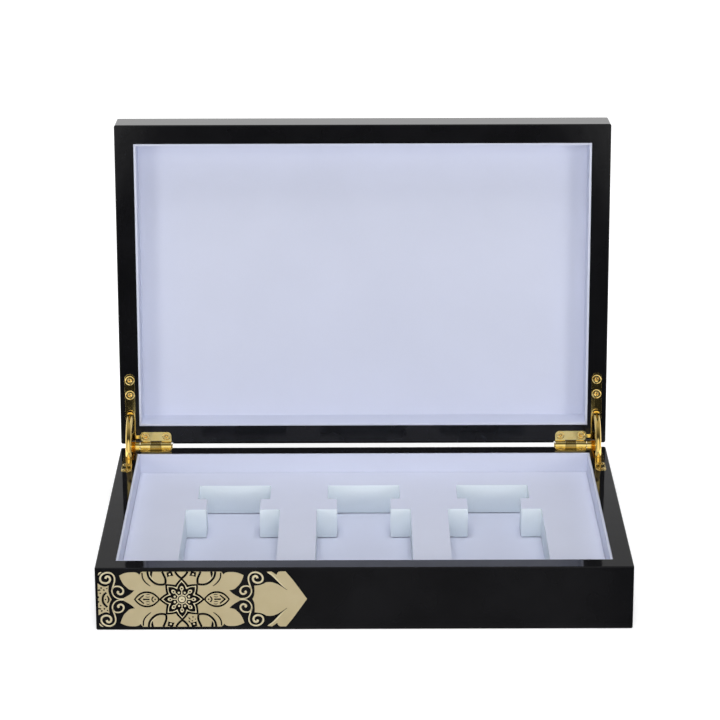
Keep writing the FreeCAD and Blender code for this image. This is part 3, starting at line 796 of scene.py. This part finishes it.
# painted highlight: a thin pale gold glint along each lobe line
lobeGlint = [(-18.0, top), (-17.4, 13.8), (-16.0, 11.9), (-14.2, 10.5)]
borderBarb = [
    (-8.3, 16.1, 1), (-6.6, top, 1), (-5.3, top, 1), (-4.4, 14.0, 1), (-6.2, 13.9), (-7.9, 13.3, 1),
]
almondHalf = [
    (-26.8, 0.0, 1), (-24.6, 2.75), (-22.1, 4.35), (-19.2, 4.8), (-16.3, 4.1), (-13.9, 2.3), (-12.4, 0.0),
]
almond = almondHalf + flip(almondHalf, 1, -1)[1:-1][::-1]
almondChevron = [(-24.7, 0.0, 1), (-21.5, 2.75, 1), (-20.9, 2.3, 1), (-23.3, 0.0, 1), (-20.9, -2.3, 1),
                 (-21.5, -2.75, 1)]
almondVein = [(-21.7, 0.0), (-19.8, 0.0), (-18.0, 0.0)]
almondHatch = [[(-19.9, 2.7), (-18.8, 2.95), (-17.7, 2.7)], [(-20.2, 1.55), (-19.0, 1.35), (-17.8, 1.55)]]
almondCap = [(-15.8, 1.7), (-16.7, 0.0), (-15.8, -1.7)]
bandArc = [(-41.9, 4.1), (-43.4, 2.7), (-44.1, 0.0), (-43.6, -2.4), (-41.6, -4.6)]
bandFlecks = [[(-45.1, 7.2), (-44.5, 6.5)], [(-46.7, 5.5), (-45.2, 5.7)], [(-43.6, 6.0), (-43.0, 5.3)],
              [(-41.8, 6.8), (-41.4, 6.4)], [(-45.5, 4.0), (-45.2, 3.4)], [(-46.7, 1.9), (-46.4, 0.9)]]
bandEye = [(-41.5, 2.2), (-40.7, 0.0), (-41.5, -2.2)]
cellFlecks = [[(3.5, -11.0), (4.5, -12.1)], [(3.5, -12.9), (4.3, -14.0)], [(5.9, -10.2), (6.0, -11.1)],
              [(7.1, -11.9), (7.6, -12.0)], [(5.3, -13.1), (5.9, -12.8)], [(5.0, -14.8), (5.6, -14.7)],
              [(6.7, -14.2), (8.0, -13.8)], [(7.6, -14.9), (8.1, -14.7)]]


def shrunk(points, middle, share, tall):
    return [(middle + (point[0] - middle) * share, point[1] * tall, *point[2:]) for point in points]


def everyWay(strokes, widths, ways=fourWays):
    return [(stroke, widths) for points in strokes for stroke in ways(points)]


width = inlay["lineWidth"]
goldSheet = fills(0, [field, arrow, band])
goldScrolls = lines(
    0.6, everyWay([scrollMain], (0.6, 1.3, 0.95)) + everyWay([scrollInner], (0.6, 1.2, 1.0))
    + everyWay([cornerStreak], (0.2, 0.3, 0.9), twoWays)
    + everyWay([arrowStreak], (0.7, 0.25, 0.8), twoWays))
blackLines = lines(
    1, everyWay([lobeLine, sideLine, crossLine], (width, width, width))
    + everyWay([outerLobeLine], (0.8, 0.4, 0.75)) + everyWay([lobeTick], (1.4, 0.4, 1.2))
    + everyWay(bandFlecks, (0.9, 0.8, 1.2), twoWays) + [(fleck, (0.7, 0.6, 1.0)) for fleck in cellFlecks]
    + [(bandArc, (1.1, 1.1, 1.3)), (bandEye, (0.7, 0.7, 1.0))])
blackFills = (fills(1, fourWays(borderBarb) + [almond, flip(almond, -1, 1), circle(-42.6, 0.0, 0.42)])
              + fills(1.1, [star(*rosette["outline"])]))
almondFill = shrunk(almond, -19.5, 0.86, 0.77)
almondFills = fills(2, [almondFill, flip(almondFill, -1, 1)])
goldFills = fills(2, [star(*rosette["petal"])] + [circle(across, up, 0.55) for across in (-6.5, 6.5)
                                                  for up in (14.9, -14.9)])
paintedGlints = lines(2, everyWay([lobeGlint], (0.4, 0.2, 0.5)))
innerBlack = fills(3, [star(*rosette["heart"]), almondChevron, flip(almondChevron, -1, 1)]
                   + [circle(across, 0.0, 0.45) for across in (-14.9, 14.9)])
innerLines = lines(
    3, everyWay([almondVein], (1.0, 0.9, 0.8), sideways) + everyWay(almondHatch, (0.3, 0.3, 0.5))
    + everyWay([almondCap], (0.8, 0.8, 0.7), sideways))
teardrop = [(4.9, 0.0, 1), (6.0, 0.95), (7.0, 0.95), (7.9, 0.0), (7.0, -0.95), (6.0, -0.95)]
goldHub = fills(4, [circle(0, 0, rosette["hub"])] + around(teardrop)
                + around(circle(rosette["beadsAt"], 0, rosette["bead"]), 0.5))
goldStems = lines(4, [(stem, (0.8, 0.55, 0.6)) for stem in around([(2.6, 0.0), (3.9, 0.0), (5.3, 0.0)])])
ringAngles = [math.tau * step / rosette["ringSteps"] for step in range(rosette["ringSteps"] + 1)]
ring = [(rosette["ring"] * math.cos(angle), rosette["ring"] * math.sin(angle)) for angle in ringAngles]
darkRing = lines(5, [(ring, (rosette["ringWidth"],) * 3)])
darkDots = fills(5, around(circle(rosette["dotsAt"], 0, rosette["dot"])) + [circle(0, 0, rosette["eye"])])

for name, parts, material in (
    ("inlay_sheet", goldSheet, leafGold), ("inlay_scrolls", goldScrolls, lineGold),
    ("inlay_outlines", blackLines + blackFills, inkBlack), ("inlay_almonds", almondFills, leafGold),
    ("inlay_petals", goldFills + paintedGlints, lineGold), ("inlay_stamens", goldHub + goldStems, lineGold),
    ("inlay_petal_hearts", innerBlack + innerLines, inkBlack), ("inlay_dots", darkRing + darkDots, inkBlack),
):
    piece = joined(name, parts)
    setPlace(piece, ontoFront)
    paint(piece, material)
    hand(piece, bodyOf("front_ornament"), "gold_inlay")
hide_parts("front_ornament")
bpy.data.objects.remove(ribbon)
print("ornament made")


# floor, light and camera

stage = {
    "floorSize": 24.0,
    "floorShade": (0.80, 0.80, 0.81, 1),
    "floorGlow": 0.62,  # what the floor sends out by itself near the box
    "glowRise": (0.17, 0.4),  # between these distances from the middle it rises to 1
    # in mirrors the floor fades from white to dim, between these depths and from the sides inward
    "dimFloor": 0.017,
    "dimDepths": (-0.02, -0.11),
    "dimSides": (0.34, 0.24),
    # a fainter glow in the dim part, just ahead of the box
    "footGlow": 0.14,
    "footDepths": (-0.45, -0.2),
    "footSides": (0.16, 0.12),
    "worldLight": 0.11,
    # what a mirror sees: a backdrop that fades as it rises, a dark room in front, a ceiling and a softbox
    # heights and depths are the z and y of the mirrored ray, whose length is 1
    "backdrop": (1.2, 0.46),
    "backdropHeights": (0.22, 0.36),
    "backdropDepths": (-0.5, -0.1),
    "darkRoom": 0.06,
    "ceiling": 0.25,
    "ceilingHeights": (0.7, 0.95),
    "softbox": 1.2,
    "softboxHeights": (0.74, 0.62),
    "softboxDepths": (-0.72, -0.82),
    "lampAim": (0, 0, 0.08),
}
lamps = {  # the place, size and power of each, in metres and watts
    "front": ((0.0, -0.75, 0.42), 0.5, 2.45),
    "top": ((0.0, -0.15, 1.6), 0.9, 11.8),
    "left": ((-1.05, -1.45, 0.38), 0.5, 6.3),
    "right": ((1.05, -1.45, 0.38), 0.5, 6.9),
}
shot = {
    "place": (-3.86 * mm, -1635.4 * mm, 652.3 * mm),
    "lookDown": 17.831,
    "lookRight": 0.063,
    "roll": -0.145,
    "lens": 148.615,
    "sensor": 36,
}


class Ground(Finish):  # a floor or a world, made of plain shaders
    def __init__(self, tree):
        self.tree = tree
        tree.nodes.clear()

    def seen(self):
        # one for what the camera, a mirror or a glass sees, and nought for soft light
        ray = self.tree.nodes.new("ShaderNodeLightPath")
        kinds = [Signal(self, ray.outputs[name]) for name in
                 ("Is Camera Ray", "Is Glossy Ray", "Is Transmission Ray")]
        return self.maths("MAXIMUM", self.maths("MAXIMUM", kinds[0], kinds[1]), kinds[2])

    def axis(self, vector, name):
        return self.node("ShaderNodeSeparateXYZ", {}, {0: vector}, name)


def whiteFloor():
    # white to the camera, and in mirrors white behind the box and dim ahead of it
    material = bpy.data.materials.new("floor")
    material.use_nodes = True
    ground = Ground(material.node_tree)
    plain = ground.node("ShaderNodeBsdfDiffuse", {}, {"Color": stage["floorShade"]})
    place = ground.node("ShaderNodeTexCoord", {}, {}, "Object")
    far = ground.node("ShaderNodeVectorMath", {"operation": "LENGTH"}, {0: place}, "Value")
    lit = ground.spread(far, stage["floorGlow"], 1.0, *stage["glowRise"])
    glow = ground.node("ShaderNodeEmission", {}, {"Strength": ground.seen() * lit})
    pale = ground.node("ShaderNodeAddShader", {}, {0: plain, 1: glow})
    depth = ground.axis(place, "Y")
    aside = ground.maths("ABSOLUTE", ground.axis(place, "X"), 0.0)
    foot = (ground.spread(depth, 0.0, stage["footGlow"], *stage["footDepths"])
            * ground.spread(aside, 0.0, 1.0, *stage["footSides"]))
    dim = ground.node("ShaderNodeEmission", {}, {"Strength": foot + stage["dimFloor"]})
    fade = ground.spread(depth, 0.0, 1.0, *stage["dimDepths"])
    within = ground.spread(aside, 0.0, 1.0, *stage["dimSides"])
    mirrored = ground.node("ShaderNodeLightPath", {}, {}, "Is Glossy Ray") * fade * within
    surface = ground.node("ShaderNodeMixShader", {}, {0: mirrored, 1: pale, 2: dim})
    ground.feed(ground.tree.nodes.new("ShaderNodeOutputMaterial").inputs["Surface"], surface)
    return material


def studio():
    # white to the camera, faint to the rest, and a drawn room to what is polished
    world = bpy.data.worlds.new("studio")
    world.use_nodes = True
    sky = Ground(world.node_tree)
    direction = sky.node("ShaderNodeTexCoord", {}, {}, "Generated")
    height = sky.axis(direction, "Z")
    depth = sky.axis(direction, "Y")
    backdrop = (sky.spread(height, *stage["backdrop"], *stage["backdropHeights"])
                * sky.spread(depth, 0.0, 1.0, *stage["backdropDepths"]))
    overhead = sky.spread(height, 0.0, stage["ceiling"], *stage["ceilingHeights"])
    softbox = (sky.spread(height, 0.0, 1.0, *stage["softboxHeights"])
               * sky.spread(depth, 0.0, stage["softbox"], *stage["softboxDepths"]))
    room = sky.maths("MAXIMUM", sky.maths("MAXIMUM", backdrop, overhead), stage["darkRoom"])
    room = sky.maths("MAXIMUM", room, softbox)
    level = stage["worldLight"] + sky.seen() * (room - stage["worldLight"])
    camera = sky.node("ShaderNodeLightPath", {}, {}, "Is Camera Ray")
    light = sky.node("ShaderNodeBackground", {}, {"Strength": sky.maths("MAXIMUM", camera, level)})
    sky.feed(sky.tree.nodes.new("ShaderNodeOutputWorld").inputs["Surface"], light)
    return world


bpy.ops.mesh.primitive_plane_add(size=stage["floorSize"], location=(0, 0, 0))
floor = bpy.context.view_layer.objects.active
floor.name = "floor"
paint(floor, whiteFloor())
bpy.context.scene.world = studio()

target = Vector(stage["lampAim"])
for name, (place, size, power) in lamps.items():
    lamp = bpy.data.lights.new(name, "AREA")
    lamp.shape = "SQUARE"
    lamp.size = size
    lamp.energy = power
    holder = bpy.data.objects.new(name, lamp)
    bpy.context.scene.collection.objects.link(holder)
    # the gilt and the lacquer mirror the drawn room alone, as the photo's hinges show no lamp
    holder.visible_camera = holder.visible_glossy = False
    holder.location = place
    holder.rotation_mode = "QUATERNION"
    holder.rotation_quaternion = (target - Vector(place)).to_track_quat("-Z", "Y")

lens = bpy.data.cameras.new("camera")
lens.lens = shot["lens"]
lens.sensor_width = shot["sensor"]
viewer = bpy.data.objects.new("camera", lens)
bpy.context.scene.collection.objects.link(viewer)
viewer.matrix_world = (
    Matrix.Translation(shot["place"])
    @ Matrix.Rotation(math.radians(-shot["lookRight"]), 4, "Z")
    @ Matrix.Rotation(math.radians(90 - shot["lookDown"]), 4, "X")
    @ Matrix.Rotation(math.radians(shot["roll"]), 4, "Z"))
bpy.context.scene.camera = viewer
bpy.context.scene.view_settings.view_transform = "Standard"
print("stage set")
